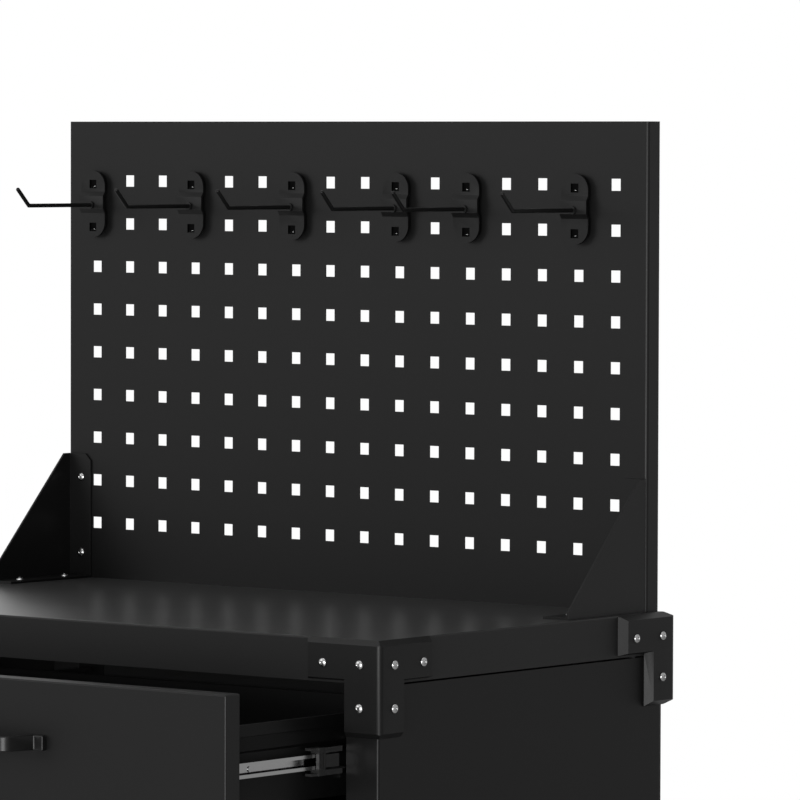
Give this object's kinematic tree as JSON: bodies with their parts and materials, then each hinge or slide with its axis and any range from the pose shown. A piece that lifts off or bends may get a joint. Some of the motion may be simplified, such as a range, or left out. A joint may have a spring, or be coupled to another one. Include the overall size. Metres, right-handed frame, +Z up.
{
  "type": "rolling tool cabinet",
  "caption": "Black rolling tool cabinet with drawers on three member slides, bevelled corner guards and a perforated back panel with hooks",
  "frame": {"origin": "on the floor in the middle of the outline with the top drawer standing open", "axes": "+Z up, -Y is the front with the drawers, +X is to the right seen from the front"},
  "size_m": [0.6644, 0.5642, 1.0958],
  "materials": {
    "powder_black_top": "satin black powder coat",
    "powder_black_panel": "matt black powder coat",
    "powder_black_shell": "matt black powder coat",
    "powder_black_front": "matt black powder coat",
    "powder_black_box": "matt black powder coat",
    "guard_black": "satin black moulding",
    "hook_black": "satin black coat",
    "pull_black": "satin black coat",
    "screw_zinc": "bright zinc plate",
    "slide_zinc": "zinc plated steel",
    "cage_grey": "dark grey moulding",
    "caster_zinc": "zinc plated steel",
    "bolt_zinc": "zinc plated steel",
    "wheel_rubber": "dark rubber tread on a moulded rim",
    "pedal_black": "black moulding"
  },
  "bodies": {
    "cabinet": {"work_top": "powder_black_top", "back_panel": "powder_black_panel", "gusset_left": "powder_black_panel", "gusset_right": "powder_black_panel", "rear_panel": "powder_black_shell", "base_pan": "powder_black_shell", "side_panel_left": "powder_black_shell", "side_panel_right": "powder_black_shell", "corner_post_front_left": "powder_black_shell", "corner_post_front_right": "powder_black_shell", "corner_post_rear_left": "powder_black_shell", "corner_post_rear_right": "powder_black_shell", "corner_guard_front_left": "guard_black", "corner_guard_front_right": "guard_black", "corner_guard_rear_left": "guard_black", "corner_guard_rear_right": "guard_black", "guard_screws": "screw_zinc", "panel_screws": "screw_zinc", "hook_1": "hook_black", "hook_2": "hook_black", "hook_3": "hook_black", "hook_4": "hook_black", "hook_5": "hook_black", "hook_6": "hook_black", "slide_cabinet_members": "slide_zinc", "swivel_plates": "caster_zinc", "fixed_forks": "caster_zinc", "fixed_axles": "bolt_zinc", "caster_bolts": "bolt_zinc"},
    "drawer_1": {"drawer_front_1": "powder_black_front", "drawer_box_1": "powder_black_box", "drawer_pull_1": "pull_black", "slide_drawer_members_1": "slide_zinc"},
    "middle_1": {"slide_middle_members_1": "slide_zinc", "slide_ball_cages_1": "cage_grey"},
    "drawer_2": {"drawer_front_2": "powder_black_front", "drawer_box_2": "powder_black_box", "drawer_pull_2": "pull_black", "slide_drawer_members_2": "slide_zinc"},
    "middle_2": {"slide_middle_members_2": "slide_zinc"},
    "drawer_3": {"drawer_front_3": "powder_black_front", "drawer_box_3": "powder_black_box", "drawer_pull_3": "pull_black", "slide_drawer_members_3": "slide_zinc"},
    "middle_3": {"slide_middle_members_3": "slide_zinc"},
    "drawer_4": {"drawer_front_4": "powder_black_front", "drawer_box_4": "powder_black_box", "drawer_pull_4": "pull_black", "slide_drawer_members_4": "slide_zinc"},
    "middle_4": {"slide_middle_members_4": "slide_zinc"},
    "fork_front": {"swivel_fork_front": "caster_zinc", "axle_front": "bolt_zinc"},
    "pedal_front": {"brake_pedal_front": "pedal_black"},
    "wheel_front_right": {"wheel_front_right": "wheel_rubber"},
    "wheel_front_left": {"wheel_front_left": "wheel_rubber"},
    "fork_rear": {"swivel_fork_rear": "caster_zinc", "axle_rear": "bolt_zinc"},
    "pedal_rear": {"brake_pedal_rear": "pedal_black"},
    "wheel_rear_right": {"wheel_rear_right": "wheel_rubber"},
    "wheel_rear_left": {"wheel_rear_left": "wheel_rubber"}
  },
  "joints": [
    {"name": "drawer_1_slide", "type": "slide", "parent": "cabinet", "child": "drawer_1", "axis": [0, -1, 0], "range_m": [-0.1263, 0.2037]},
    {"name": "middle_1_slide", "type": "slide", "parent": "cabinet", "child": "middle_1", "axis": [0, -1, 0], "range_m": [-0.06315, 0.10185]},
    {"name": "drawer_2_slide", "type": "slide", "parent": "cabinet", "child": "drawer_2", "axis": [0, -1, 0], "range_m": [0, 0.33]},
    {"name": "middle_2_slide", "type": "slide", "parent": "cabinet", "child": "middle_2", "axis": [0, -1, 0], "range_m": [0, 0.165]},
    {"name": "drawer_3_slide", "type": "slide", "parent": "cabinet", "child": "drawer_3", "axis": [0, -1, 0], "range_m": [0, 0.33]},
    {"name": "middle_3_slide", "type": "slide", "parent": "cabinet", "child": "middle_3", "axis": [0, -1, 0], "range_m": [0, 0.165]},
    {"name": "drawer_4_slide", "type": "slide", "parent": "cabinet", "child": "drawer_4", "axis": [0, -1, 0], "range_m": [0, 0.33]},
    {"name": "middle_4_slide", "type": "slide", "parent": "cabinet", "child": "middle_4", "axis": [0, -1, 0], "range_m": [0, 0.165]},
    {"name": "swivel_front", "type": "hinge", "parent": "cabinet", "child": "fork_front", "pos_m": [0.241, -0.0368, 0.11], "axis": [0, 0, 1], "continuous": true},
    {"name": "wheel_front_right_spin", "type": "hinge", "parent": "fork_front", "child": "wheel_front_right", "pos_m": [0.209, -0.0368, 0.05], "axis": [0, 1, 0], "continuous": true},
    {"name": "wheel_front_left_spin", "type": "hinge", "parent": "cabinet", "child": "wheel_front_left", "pos_m": [-0.241, -0.0368, 0.05], "axis": [0, 1, 0], "continuous": true},
    {"name": "brake_front", "type": "hinge", "parent": "fork_front", "child": "pedal_front", "pos_m": [0.201, -0.0368, 0.1053], "axis": [0, -1, 0], "range_deg": [0, 11]},
    {"name": "swivel_rear", "type": "hinge", "parent": "cabinet", "child": "fork_rear", "pos_m": [0.241, 0.2029, 0.11], "axis": [0, 0, 1], "continuous": true},
    {"name": "wheel_rear_right_spin", "type": "hinge", "parent": "fork_rear", "child": "wheel_rear_right", "pos_m": [0.209, 0.2029, 0.05], "axis": [0, 1, 0], "continuous": true},
    {"name": "wheel_rear_left_spin", "type": "hinge", "parent": "cabinet", "child": "wheel_rear_left", "pos_m": [-0.241, 0.2029, 0.05], "axis": [0, 1, 0], "continuous": true},
    {"name": "brake_rear", "type": "hinge", "parent": "fork_rear", "child": "pedal_rear", "pos_m": [0.201, 0.2029, 0.1053], "axis": [0, -1, 0], "range_deg": [0, 11]}
  ],
  "couplings": [
    {"joint": "middle_1_slide", "follows": "drawer_1_slide", "ratio": 0.5},
    {"joint": "middle_2_slide", "follows": "drawer_2_slide", "ratio": 0.5},
    {"joint": "middle_3_slide", "follows": "drawer_3_slide", "ratio": 0.5},
    {"joint": "middle_4_slide", "follows": "drawer_4_slide", "ratio": 0.5}
  ]
}
